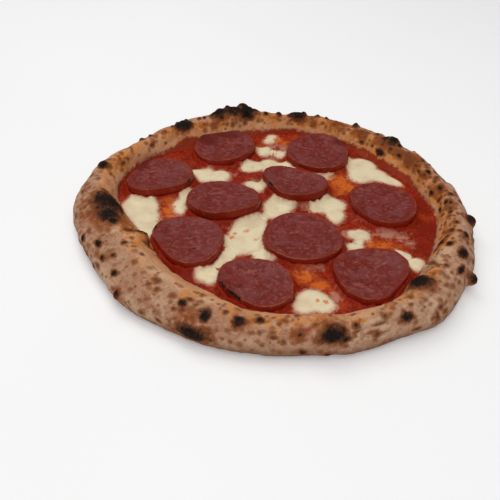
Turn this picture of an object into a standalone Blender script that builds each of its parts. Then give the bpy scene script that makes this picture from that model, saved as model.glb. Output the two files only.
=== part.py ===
"""Salami pizza: one round baked pizza, built at its real size.

Metres, +Z up. The origin is under the middle of the pizza, on the flat it
lies on; the side towards -Y is the near one. Sizes in this file are written
in millimetres and turned into metres where the meshes are made.

  crust           thin round base with the puffed, folded and blistered rim
  tomato_sauce    thin layer of sauce on the base, inside the rim
  mozzarella_NN   melted pools of mozzarella lying on the sauce
  salami_NN       cupped round slices of salami lying on sauce and cheese
"""

import math
import random

import bmesh
import bpy
import numpy as np
from mathutils import Vector

MM = 0.001
GAP = 0.3             # clearance between pieces that lie on each other

# Places below are read from the point that the rim's radii start from. It lies
# this far from the middle of the pizza's box, because the rim isn't a true circle.
START = Vector((-0.97, 0.29, 0.0))

BASE_THICKNESS = 4.0
SAUCE_THICKNESS = 1.6
CHEESE_THICKNESS = 1.8
SALAMI_THICKNESS = 4.8

# The rim, read round the pizza from +X by way of the back:
# angle in degrees, outer radius, radius of its inner foot, height of its crest.
RIM = (
    (0, 142, 119, 20),
    (20, 139, 114, 20),
    (45, 138, 110, 20),
    (65, 140, 117, 19),
    (85, 137, 119, 19),
    (105, 141, 108, 21.5),
    (125, 139, 111, 20),
    (145, 139, 119, 20),
    (165, 143, 117, 21),
    (180, 142, 104, 23),
    (195, 137, 92, 24),
    (210, 134, 88, 24),
    (225, 137, 92, 23),
    (240, 136, 93, 22),
    (255, 138, 100, 22),
    (270, 139, 108, 22),
    (285, 143, 113, 22),
    (300, 147, 121, 22),
    (315, 152, 118, 22),
    (330, 149, 116, 22),
    (345, 145, 117, 21),
)
WIDEST_HEIGHT = 0.42  # height of the rim's outermost line, as a share of its crest
UNDERCUT = 8.0        # how far the rim curls in under its outermost line
CREST_SHARE = 0.48    # crest's distance from the outer edge, as a share of the width
INNER_FALL = 1.15     # how softly the inner slope meets the base

# Places across the rim run from 0 at the outer foot to 1 at the inner foot.
WIDEST_PLACE = 0.2
CREST_PLACE = 0.5
FOOT_FADE = 0.12      # bumps fade out this near to either foot

# Blisters and lumps that stand out of the rim: angle in degrees, place across
# the rim, radius, height.
BLISTERS = (
    (183, 0.62, 17.0, 2.6),
    (207.5, 0.76, 9.0, 3.4),
    (104, 0.46, 15.0, 4.0),
    (99, 0.45, 7.0, 4.4),
    (95, 0.48, 6.0, 2.4),
    (110, 0.46, 6.0, 2.0),
    (124, 0.48, 8.0, 2.0),
    (161, 0.46, 6.0, 2.0),
    (79, 0.45, 8.0, 1.6),
    (56, 0.44, 4.0, 2.0),
    (40, 0.42, 8.0, 4.0),
    (225, 0.24, 4.5, 2.8),
    (330, 0.21, 5.5, 4.2),
    (353, 0.30, 5.5, 3.6),
    (250, 0.36, 13.0, 2.0),
    (284, 0.42, 14.0, 2.0),
    (317, 0.80, 10.0, 2.4),
)
SMALL_BUMPS = 60
SMALL_BUMP_PLACE = (0.18, 0.85)
SMALL_BUMP_RADIUS = (4.0, 9.0)
SMALL_BUMP_HEIGHT = (0.4, 1.1)
WAVE_HEIGHT = 0.8     # slow hand-shaped unevenness of the dough
SEED = 7

RIM_STEPS = 160       # faces round the rim, before the small blisters get their own
BLISTER_STEPS = (-0.9, -0.45, 0.0, 0.45, 0.9)
BLISTER_ROOM = 1.2    # even steps are left out to this many radii from such a blister
SMALL_BLISTER = 7.5   # a blister narrower than this gets steps of its own
OUTER_STEPS = 11      # rows from the outer foot up to the crest
INNER_STEPS = 9       # rows from the crest down to the inner foot
SAUCE_STEPS = 96      # faces round the sauce
SAUCE_ROWS = ((1.5, 0.0), (0.5, 0.5), (1.5, 1.0))  # inset from the rim, share of the thickness
SMOOTH_ANGLE = 50     # in degrees; sharper edges than this stay sharp

# Pools of mozzarella, each a few round lobes: x, y, radius.
POOLS = (
    ((-96, 7, 14), (-92, -6, 12), (-88, -19, 9), (-89, -28, 7)),
    ((-50, 50, 9.5), (-38, 49, 8.5), (-57, 53, 6)),
    ((-64, 9, 9), (-60, 20, 8), (-66, 4, 6)),
    ((1, 104, 5), (3, 110, 5)),
    ((-4, 87, 7), (-1, 91, 4)),
    ((10, 82, 5), (9, 85, 4)),
    ((0, 66, 9), (-13, 64, 8), (17, 64, 6), (-19, 61, 5), (24, 62, 3)),
    ((-7, 35, 6.5), (-14, 38, 5), (-1, 35, 5)),
    ((6, 9, 11), (2, 1, 7), (14, 11, 6)),
    ((45, 11, 11), (48, -1, 7), (48, -7, 4), (34, 8, 6)),
    ((-16, -24, 14), (-22, -36, 12), (-12, -12, 10), (-10, -36, 10)),
    ((-43, -68, 8), (-38, -75, 5), (-34, -56, 7), (-29, -50, 5)),
    ((-7, -50, 5), (0, -50, 6)),
    ((73, 65, 13), (72, 52, 10), (84, 54, 9), (96, 45, 5), (102, 39, 4)),
    ((45, 52, 5), (40, 53, 4)),
    ((64, -24, 7), (59, -23, 5)),
    ((57, -38, 5), (61, -37, 4)),
    ((98, -56, 7), (91, -47, 5), (87, -42, 3)),
    ((26, -93, 11), (34, -98, 7), (20, -98, 7)),
)
POOL_SIDES = 20
POOL_ROWS = ((0.92, 0.0), (1.0, 0.25), (0.86, 0.75), (0.5, 1.0))  # reach, height, as shares
POOL_RIM_CLEARANCE = 3.0
POOL_CLEARANCE = 1.2
POOL_MARGIN = 1.08    # a slice keeps clear of a pool out to this share of its reach
TRIM_ROUNDS = 30      # tries at pulling a pool's edge back from its neighbours
TRIM_STEP = 0.5
RIM_ROUNDS = 4        # tries at pulling an edge back from the rim

# Salami slices: x, y, radius, stretch, direction of the stretch in degrees,
# height of the three lobes of the uneven edge, direction of the first lobe,
# cup depth, tilt height, direction in which the slice rises in degrees.
SLICES = (
    (-36, 86, 24.5, 1.05, 45, 0.6, 230, 2.5, 0.5, 90),
    (39.5, 77, 25.5, 1.03, 105, 0.6, 60, 3.0, 1.0, 90),
    (-83, 38.5, 24.5, 1.09, 47, 1.4, 98, 2.5, 3.0, 270),
    (-34.5, 9, 25, 1.08, 0, 0.7, 105, 2.5, 4.5, 270),
    (19, 32, 22.5, 1.18, 143, 1.8, 125, 3.0, 3.0, 270),
    (83, 7, 25, 1.09, 118, 0.5, 30, 2.5, 1.5, 270),
    (-56.5, -38, 25.5, 1.10, 119, 1.6, 32, 2.5, 1.0, 270),
    (22, -34.5, 27.5, 1.03, 130, 0.7, 95, 2.5, 1.0, 270),
    (64.5, -72, 25, 1.06, 48, 1.9, 25, 2.5, 1.5, 90),
    (-9.5, -82.5, 23.5, 1.13, 141, 1.2, 38, 2.5, 1.0, 90),
)
SLICE_SIDES = 20
SLICE_TOP_RINGS = (0.5, 0.82, 0.97)
SLICE_BOTTOM_RINGS = (0.94, 0.6)
SLICE_WIDEST = 0.4    # height of a slice's outermost line, as a share of its thickness
SLICE_EDGE_WAVE = 0.5
CUP_POWER = 2.6       # how flat a cupped slice stays towards its middle
RIM_CLEARANCE = 2.2   # kept between a slice's edge and the rim's inner slope

CRUST_COLOUR = (0.376, 0.223, 0.156)
SAUCE_COLOUR = (0.196, 0.012, 0.004)
CHEESE_COLOUR = (0.665, 0.552, 0.347)
SALAMI_COLOUR = (0.165, 0.034, 0.029)


def clear_scene():
    for item in list(bpy.data.objects):
        bpy.data.objects.remove(item, do_unlink=True)


def material(name, colour, roughness):
    made = bpy.data.materials.new(name)
    made.use_nodes = True
    shader = made.node_tree.nodes["Principled BSDF"]
    shader.inputs["Base Color"].default_value = (*colour, 1.0)
    shader.inputs["Roughness"].default_value = roughness
    shader.inputs["Metallic"].default_value = 0.0
    made.diffuse_color = (*colour, 1.0)
    return made


# ---------------------------------------------------------------- the rim

def rim_sizes(angle):
    """Outer radius, inner radius and crest height at angles in radians."""
    turn = np.degrees(angle) % 360.0
    stops = np.array(RIM, dtype=float)
    first = np.searchsorted(stops[:, 0], turn, side="right") - 1
    count = len(stops)
    before, after, later = (first - 1) % count, (first + 1) % count, (first + 2) % count
    start = stops[first, 0]
    span = (stops[after, 0] - start) % 360.0
    share = ((turn - start) / span)[..., None]
    a, b, c, d = (stops[i, 1:] for i in (before, first, after, later))
    return b + 0.5 * share * (c - a + share * (2 * a - 5 * b + 4 * c - d
                                               + share * (3 * (b - c) + d - a)))


def rim_profile(angle, across):
    """Radius and height of the smooth rim; across runs 0 outer foot to 1 inner foot."""
    outer, inner, crest = np.moveaxis(rim_sizes(angle), -1, 0)
    widest = WIDEST_HEIGHT * crest
    ridge = outer - CREST_SHARE * (outer - inner)
    low = np.clip(across / WIDEST_PLACE, 0, 1) * math.pi / 2
    high = np.clip((across - WIDEST_PLACE) / (CREST_PLACE - WIDEST_PLACE), 0, 1) * math.pi / 2
    inside = np.clip((across - CREST_PLACE) / (1 - CREST_PLACE), 0, 1)
    radius = np.where(across < WIDEST_PLACE, outer - UNDERCUT * (1 - np.sin(low)),
                      ridge + (outer - ridge) * np.cos(high))
    height = np.where(across < WIDEST_PLACE, widest * (1 - np.cos(low)),
                      widest + (crest - widest) * np.sin(high))
    fall = np.maximum(0, 1 - inside ** 2) ** INNER_FALL
    radius = np.where(across > CREST_PLACE, ridge - (ridge - inner) * inside, radius)
    height = np.where(across > CREST_PLACE,
                      BASE_THICKNESS + (crest - BASE_THICKNESS) * fall, height)
    return radius, height


def slope_radius(angle, height):
    """How far out the rim's inner slope reaches a height."""
    outer, inner, crest = np.moveaxis(rim_sizes(angle), -1, 0)
    ridge = outer - CREST_SHARE * (outer - inner)
    fall = np.clip((height - BASE_THICKNESS) / (crest - BASE_THICKNESS), 0, 1)
    return ridge - (ridge - inner) * np.sqrt(1 - fall ** (1 / INNER_FALL))


def rim_point(angle, across):
    radius, height = rim_profile(angle, across)
    return np.stack((radius * np.cos(angle), radius * np.sin(angle), height), axis=-1)


def rim_normal(angle, across):
    """Outward direction square to the rim's cross-section."""
    step = 0.01
    near = np.stack(rim_profile(angle, np.clip(across - step, 0, 1)), axis=-1)
    far = np.stack(rim_profile(angle, np.clip(across + step, 0, 1)), axis=-1)
    run = far - near
    run /= np.maximum(np.linalg.norm(run, axis=-1, keepdims=True), 1e-9)
    out, up = run[..., 1], -run[..., 0]
    return np.stack((out * np.cos(angle), out * np.sin(angle), up), axis=-1)


def bump_list():
    """Named blisters, then small seeded ones spread over the rim."""
    draw = random.Random(SEED)
    bumps = list(BLISTERS)
    for _ in range(SMALL_BUMPS):
        bumps.append((draw.uniform(0, 360), draw.uniform(*SMALL_BUMP_PLACE),
                      draw.uniform(*SMALL_BUMP_RADIUS), draw.uniform(*SMALL_BUMP_HEIGHT)))
    return bumps


def rim_surface(angle, across):
    """The finished rim: smooth profile, slow waves and blisters."""
    smooth = rim_point(angle, across)
    lift = WAVE_HEIGHT * (np.sin(5 * angle + 6 * across) * np.sin(9 * angle + 1)
                          + 0.5 * np.sin(17 * angle + 9 * across + 2))
    for turn, place, radius, height in bump_list():
        middle = rim_point(np.array(math.radians(turn)), np.array(place))
        reach = np.linalg.norm(smooth - middle, axis=-1) / radius
        lift += height * np.maximum(0, 1 - reach ** 2)
    hold = np.clip(across / FOOT_FADE, 0, 1) * np.clip((1 - across) / FOOT_FADE, 0, 1)
    return smooth + rim_normal(angle, across) * (lift * hold)[..., None]


def grid_faces(mesh, rows):
    """Join closed rows of vertices into a tube of quads."""
    for low, high in zip(rows, rows[1:]):
        for i in range(len(low)):
            j = (i + 1) % len(low)
            mesh.faces.new((low[i], low[j], high[j], high[i]))


def cap(mesh, row, point, facing_up):
    """Close a row with a fan of triangles round a point."""
    tip = new_row(mesh, [point])[0]
    for i in range(len(row)):
        j = (i + 1) % len(row)
        pair = (row[i], row[j]) if facing_up else (row[j], row[i])
        mesh.faces.new((*pair, tip))


def finish(mesh, name, made):
    bmesh.ops.triangulate(mesh, faces=mesh.faces[:])
    data = bpy.data.meshes.new(name)
    mesh.to_mesh(data)
    mesh.free()
    data.materials.append(made)
    data.shade_smooth()
    data.set_sharp_from_angle(angle=math.radians(SMOOTH_ANGLE))
    item = bpy.data.objects.new(name, data)
    bpy.context.scene.collection.objects.link(item)
    return item


def new_row(mesh, points):
    return [mesh.verts.new((Vector(point) + START) * MM) for point in points]


def rim_angles():
    """Even steps round the rim, closer together at each small blister."""
    angles = np.linspace(0, 2 * math.pi, RIM_STEPS, endpoint=False)
    for turn, _, radius, _ in BLISTERS:
        if radius >= SMALL_BLISTER:
            continue
        middle = math.radians(turn)
        half = radius / rim_sizes(np.array(middle))[0]
        angles = angles[np.abs(angles - middle) > BLISTER_ROOM * half]
        angles = np.append(angles, middle + half * np.array(BLISTER_STEPS))
    return np.sort(angles)


def make_crust():
    angle = rim_angles()
    places = np.concatenate((np.linspace(0, CREST_PLACE, OUTER_STEPS, endpoint=False),
                             np.linspace(CREST_PLACE, 1, INNER_STEPS)))
    mesh = bmesh.new()
    rows = []
    for place in places:
        rows.append(new_row(mesh, rim_surface(angle, np.full_like(angle, place))))
    grid_faces(mesh, rows)
    cap(mesh, rows[-1], (0, 0, BASE_THICKNESS), True)
    cap(mesh, rows[0], (0, 0, 0), False)
    return finish(mesh, "crust", material("baked_crust", CRUST_COLOUR, 0.75))


# ---------------------------------------------------------------- the sauce

SAUCE_FLOOR = BASE_THICKNESS + GAP
SAUCE_TOP = SAUCE_FLOOR + SAUCE_THICKNESS


def make_sauce():
    """A thin round layer whose edge follows the rim's inner foot."""
    angle = np.linspace(0, 2 * math.pi, SAUCE_STEPS, endpoint=False)
    inner = rim_sizes(angle)[:, 1]
    mesh = bmesh.new()
    rows = []
    for inset, share in SAUCE_ROWS:
        radius = inner - inset
        height = np.full(SAUCE_STEPS, SAUCE_FLOOR + share * SAUCE_THICKNESS)
        rows.append(new_row(mesh, np.stack((radius * np.cos(angle), radius * np.sin(angle),
                                            height), axis=-1)))
    grid_faces(mesh, rows)
    cap(mesh, rows[-1], (0, 0, SAUCE_TOP), True)
    cap(mesh, rows[0], (0, 0, SAUCE_FLOOR), False)
    return finish(mesh, "tomato_sauce", material("tomato_sauce", SAUCE_COLOUR, 0.35))


# ---------------------------------------------------------------- the cheese

POOL_FLOOR = SAUCE_TOP + GAP


def inside_rim(middle, angle, reach, height, clearance):
    """Pull an outline's reach back where it would run into the rim's inner slope."""
    away = np.stack((np.cos(angle), np.sin(angle)), axis=-1)
    for _ in range(RIM_ROUNDS):
        edge = middle + reach[:, None] * away
        room = slope_radius(np.arctan2(edge[:, 1], edge[:, 0]), height) - clearance
        reach = reach - np.maximum(0, np.linalg.norm(edge, axis=1) - room)
    return reach


def lobed_outline(lobes, count):
    """Middle of a pool and its edge's distance in each direction."""
    lobes = np.array(lobes, dtype=float)
    middle = np.average(lobes[:, :2], axis=0, weights=lobes[:, 2] ** 2)
    angle = np.linspace(0, 2 * math.pi, count, endpoint=False)
    away = np.stack((np.cos(angle), np.sin(angle)), axis=-1)
    reach = np.zeros(count)
    for x, y, radius in lobes:
        along = away @ (np.array((x, y)) - middle)
        beside = (x - middle[0]) ** 2 + (y - middle[1]) ** 2 - along ** 2
        inside = radius ** 2 - beside
        edge = along + np.sqrt(np.maximum(inside, 0))
        reach = np.maximum(reach, np.where(inside > 0, edge, 0))
    reach = (np.roll(reach, 1) + 2 * reach + np.roll(reach, -1)) / 4
    return middle, angle, inside_rim(middle, angle, reach, 0, POOL_RIM_CLEARANCE)


def reach_share(outline, x, y):
    """How far out points lie in a pool, 1 at its edge, and their distance past it."""
    middle, angle, reach = outline
    turn = np.arctan2(y - middle[1], x - middle[0]) % (2 * math.pi)
    edge = np.interp(turn, np.append(angle, 2 * math.pi), np.append(reach, reach[0]))
    away = np.hypot(x - middle[0], y - middle[1])
    return away / edge, away - edge


def pool_outlines(count):
    """All pools' outlines; a later pool stops short of the earlier ones."""
    outlines = []
    for lobes in POOLS:
        middle, angle, reach = lobed_outline(lobes, count)
        for earlier in outlines:
            for _ in range(TRIM_ROUNDS):
                _, clear = reach_share(earlier, middle[0] + reach * np.cos(angle),
                                       middle[1] + reach * np.sin(angle))
                reach = np.where(clear < POOL_CLEARANCE, reach - TRIM_STEP, reach)
        outlines.append((middle, angle, reach))
    return outlines


def pool_height(outlines, x, y):
    """Height of the cheese over the sauce at points, zero where there is none."""
    top = np.zeros(np.shape(x))
    for outline in outlines:
        share, _ = reach_share(outline, x, y)
        top = np.maximum(top, np.where(share < POOL_MARGIN, CHEESE_THICKNESS + GAP, 0))
    return top


def make_pool(number, outline, made):
    middle, angle, reach = outline
    mesh = bmesh.new()
    rows = []
    for share, lift in POOL_ROWS:
        rows.append(new_row(mesh, np.stack((
            middle[0] + share * reach * np.cos(angle),
            middle[1] + share * reach * np.sin(angle),
            np.full(len(angle), POOL_FLOOR + lift * CHEESE_THICKNESS)), axis=-1)))
    grid_faces(mesh, rows)
    cap(mesh, rows[-1], (*middle, POOL_FLOOR + CHEESE_THICKNESS), True)
    cap(mesh, rows[0], (*middle, POOL_FLOOR), False)
    return finish(mesh, f"mozzarella_{number:02d}", made)


# ---------------------------------------------------------------- the salami

def slice_edge(place, angle):
    """A slice's uneven edge: its distance from the middle, short of the rim."""
    x, y, radius, stretch, turn, lobe, first, cup, *_ = place
    turn, first = math.radians(turn), math.radians(first)
    reach = radius / np.hypot(np.cos(angle - turn) / stretch, np.sin(angle - turn) * stretch)
    reach += lobe * np.cos(3 * (angle - first))
    lowest = POOL_FLOOR + CHEESE_THICKNESS + cup
    return inside_rim(np.array((x, y)), angle, reach, lowest, RIM_CLEARANCE)


def slice_shape(angle, share, place):
    """Plan position and height of a slice's underside before it is set down."""
    x, y, radius, *_, cup, tilt, rise = place
    reach = share * slice_edge(place, angle)
    px = x + reach * np.cos(angle)
    py = y + reach * np.sin(angle)
    slope = reach * np.cos(angle - math.radians(rise)) / radius
    wave = SLICE_EDGE_WAVE * np.sin(2 * angle + 0.1 * x) * share ** 2
    return px, py, cup * share ** CUP_POWER + 0.5 * tilt * (1 + slope) + wave


def slice_floor(place, outlines):
    """Height at which the slice comes to rest on sauce and cheese."""
    turns = np.linspace(0, 2 * math.pi, 3 * SLICE_SIDES)
    floor = SAUCE_TOP + GAP
    for share in np.linspace(0, 1, SLICE_SIDES):
        px, py, lift = slice_shape(turns, share, place)
        floor = max(floor, SAUCE_TOP + GAP + np.max(pool_height(outlines, px, py) - lift))
    return floor


def make_slice(number, place, made, outlines):
    floor = slice_floor(place, outlines)
    angle = np.linspace(0, 2 * math.pi, SLICE_SIDES, endpoint=False)
    mesh = bmesh.new()

    def ring(share, thickness):
        px, py, lift = slice_shape(angle, share, place)
        return new_row(mesh, np.stack((px, py, floor + lift + thickness), axis=-1))

    rows = [ring(share, 0) for share in reversed(SLICE_BOTTOM_RINGS)]
    rows.append(ring(1.0, SLICE_WIDEST * SALAMI_THICKNESS))
    rows += [ring(share, SALAMI_THICKNESS) for share in reversed(SLICE_TOP_RINGS)]
    grid_faces(mesh, rows)
    middle_height = floor + slice_shape(angle[:1], 0.0, place)[2][0]
    cap(mesh, rows[-1], (*place[:2], middle_height + SALAMI_THICKNESS), True)
    cap(mesh, rows[0], (*place[:2], middle_height), False)
    return finish(mesh, f"salami_{number:02d}", made)


def main():
    clear_scene()
    make_crust()
    make_sauce()
    cheese = material("mozzarella", CHEESE_COLOUR, 0.4)
    outlines = pool_outlines(POOL_SIDES)
    for number, outline in enumerate(outlines, start=1):
        make_pool(number, outline, cheese)
    salami = material("salami", SALAMI_COLOUR, 0.45)
    for number, place in enumerate(SLICES, start=1):
        make_slice(number, place, salami, outlines)


main()
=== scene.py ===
"""Looks of the salami pizza: baked dough, sauce, melted cheese and salami.

Lengths are in millimetres, read from the same start point as the solids, and MM turns
them into metres.  A place on the rim is an angle in degrees, counter-clockwise from
the right, and a place across the rim: 0 at its outer foot, half way at its crest and
all the way at its inner foot, in percent in the tables and from 0 to 1 in functions.
"""

import math
import random

import bpy
import numpy as np
from mathutils import Matrix, Vector, noise


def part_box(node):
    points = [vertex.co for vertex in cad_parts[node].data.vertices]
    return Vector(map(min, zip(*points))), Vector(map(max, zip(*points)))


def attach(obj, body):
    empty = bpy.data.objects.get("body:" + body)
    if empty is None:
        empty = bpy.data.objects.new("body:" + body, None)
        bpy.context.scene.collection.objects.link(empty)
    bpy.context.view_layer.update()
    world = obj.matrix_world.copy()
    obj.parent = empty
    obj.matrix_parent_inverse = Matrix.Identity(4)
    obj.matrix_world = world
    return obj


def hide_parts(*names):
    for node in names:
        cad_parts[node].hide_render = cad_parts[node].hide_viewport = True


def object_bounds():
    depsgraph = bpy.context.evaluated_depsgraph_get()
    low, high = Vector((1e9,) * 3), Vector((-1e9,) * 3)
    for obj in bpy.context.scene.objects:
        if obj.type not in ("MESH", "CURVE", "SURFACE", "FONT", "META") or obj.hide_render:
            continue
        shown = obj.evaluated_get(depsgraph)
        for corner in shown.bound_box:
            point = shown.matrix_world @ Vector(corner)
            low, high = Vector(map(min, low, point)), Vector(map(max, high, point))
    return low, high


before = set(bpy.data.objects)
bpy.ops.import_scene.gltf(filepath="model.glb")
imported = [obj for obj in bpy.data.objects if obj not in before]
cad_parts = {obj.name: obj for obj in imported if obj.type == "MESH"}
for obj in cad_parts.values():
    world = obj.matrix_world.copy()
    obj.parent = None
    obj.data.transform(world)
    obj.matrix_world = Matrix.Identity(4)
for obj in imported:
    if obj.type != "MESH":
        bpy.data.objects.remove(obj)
CAD_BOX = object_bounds()

MM = 0.001
START = np.array((-0.97, 0.29, 0.0))

# ---- sizes shared with the solids

GAP = 0.3
BASE_THICKNESS = 4.0
SAUCE_THICKNESS = 1.6
CHEESE_THICKNESS = 1.8
SALAMI_THICKNESS = 4.8

# Angle, outer radius, radius of the inner foot, height of the crest.
RIM = (
    (0, 142, 119, 20), (20, 139, 114, 20), (45, 138, 110, 20), (65, 140, 117, 19),
    (85, 137, 119, 19), (105, 141, 108, 21.5), (125, 139, 111, 20), (145, 139, 119, 20),
    (165, 143, 117, 21), (180, 142, 104, 23), (195, 137, 92, 24), (210, 134, 88, 24),
    (225, 137, 92, 23), (240, 136, 93, 22), (255, 138, 100, 22), (270, 139, 108, 22),
    (285, 143, 113, 22), (300, 147, 121, 22), (315, 152, 118, 22), (330, 149, 116, 22),
    (345, 145, 117, 21),
)
WIDEST_PLACE = 0.2
CREST_PLACE = 0.5
FOOT_FADE = 0.12
WIDEST_HEIGHT = 0.42
UNDERCUT = 8.0
CREST_SHARE = 0.48
INNER_FALL = 1.15

# Angle, place across the rim, radius, height.
BLISTERS = (
    (183, 62, 17, 2.6), (207.5, 76, 9, 3.4), (104, 46, 15, 4), (99, 45, 7, 4.4), (95, 48, 6, 2.4),
    (110, 46, 6, 2), (124, 48, 8, 2), (161, 46, 6, 2), (79, 45, 8, 1.6), (56, 44, 4, 2),
    (40, 42, 8, 4), (225, 24, 4.5, 2.8), (330, 21, 5.5, 4.2), (353, 30, 5.5, 3.6),
    (250, 36, 13, 2), (284, 42, 14, 2), (317, 80, 10, 2.4),
)
SMALL_BUMPS = 60
SMALL_BUMP_RADIUS = (4.0, 9.0)
SMALL_BUMP_HEIGHT = (0.4, 1.1)
SMALL_BUMP_PLACE = (18, 85)
WAVE_HEIGHT = 0.8
SEED = 7

# Pools of mozzarella, each a few round lobes: x, y, radius.
POOLS = (
    ((-96, 7, 14), (-92, -6, 12), (-88, -19, 9), (-89, -28, 7)),
    ((-50, 50, 9.5), (-38, 49, 8.5), (-57, 53, 6)), ((-64, 9, 9), (-60, 20, 8), (-66, 4, 6)),
    ((1, 104, 5), (3, 110, 5)), ((-4, 87, 7), (-1, 91, 4)), ((10, 82, 5), (9, 85, 4)),
    ((0, 66, 9), (-13, 64, 8), (17, 64, 6), (-19, 61, 5), (24, 62, 3)),
    ((-7, 35, 6.5), (-14, 38, 5), (-1, 35, 5)), ((6, 9, 11), (2, 1, 7), (14, 11, 6)),
    ((45, 11, 11), (48, -1, 7), (48, -7, 4), (34, 8, 6)),
    ((-16, -24, 14), (-22, -36, 12), (-12, -12, 10), (-10, -36, 10)),
    ((-43, -68, 8), (-38, -75, 5), (-34, -56, 7), (-29, -50, 5)), ((-7, -50, 5), (0, -50, 6)),
    ((73, 65, 13), (72, 52, 10), (84, 54, 9), (96, 45, 5), (102, 39, 4)),
    ((45, 52, 5), (40, 53, 4)), ((64, -24, 7), (59, -23, 5)), ((57, -38, 5), (61, -37, 4)),
    ((98, -56, 7), (91, -47, 5), (87, -42, 3)), ((26, -93, 11), (34, -98, 7), (20, -98, 7)),
)
POOL_CLEARANCE = 1.2
TRIM_ROUNDS = 30
TRIM_STEP = 0.5
RIM_ROUNDS = 4

# x, y, radius, stretch, its direction, height of three lobes, first lobe's
# direction, cup depth, tilt height, direction in which the slice rises.
SLICES = (
    (-36, 86, 24.5, 1.05, 45, .6, 230, 2.5, .5, 90), (39.5, 77, 25.5, 1.03, 105, .6, 60, 3, 1, 90),
    (-83, 38.5, 24.5, 1.09, 47, 1.4, 98, 2.5, 3, 270),
    (-34.5, 9, 25, 1.08, 0, .7, 105, 2.5, 4.5, 270),
    (19, 32, 22.5, 1.18, 143, 1.8, 125, 3, 3, 270), (83, 7, 25, 1.09, 118, .5, 30, 2.5, 1.5, 270),
    (-56.5, -38, 25.5, 1.1, 119, 1.6, 32, 2.5, 1, 270),
    (22, -34.5, 27.5, 1.03, 130, .7, 95, 2.5, 1, 270),
    (64.5, -72, 25, 1.06, 48, 1.9, 25, 2.5, 1.5, 90),
    (-9.5, -82.5, 23.5, 1.13, 141, 1.2, 38, 2.5, 1, 90),
)
SLICE_EDGE_WAVE = 0.5
CUP_POWER = 2.6
SLICE_WIDEST = 0.4
SOLID_SIDES = 20
SOLID_SHARES = (0.0, 0.6, 0.94, 1.0)

SAUCE_FLOOR = BASE_THICKNESS + GAP
SAUCE_TOP = SAUCE_FLOOR + SAUCE_THICKNESS
POOL_TOP = SAUCE_TOP + GAP + CHEESE_THICKNESS

# ---- what the oven did

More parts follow.
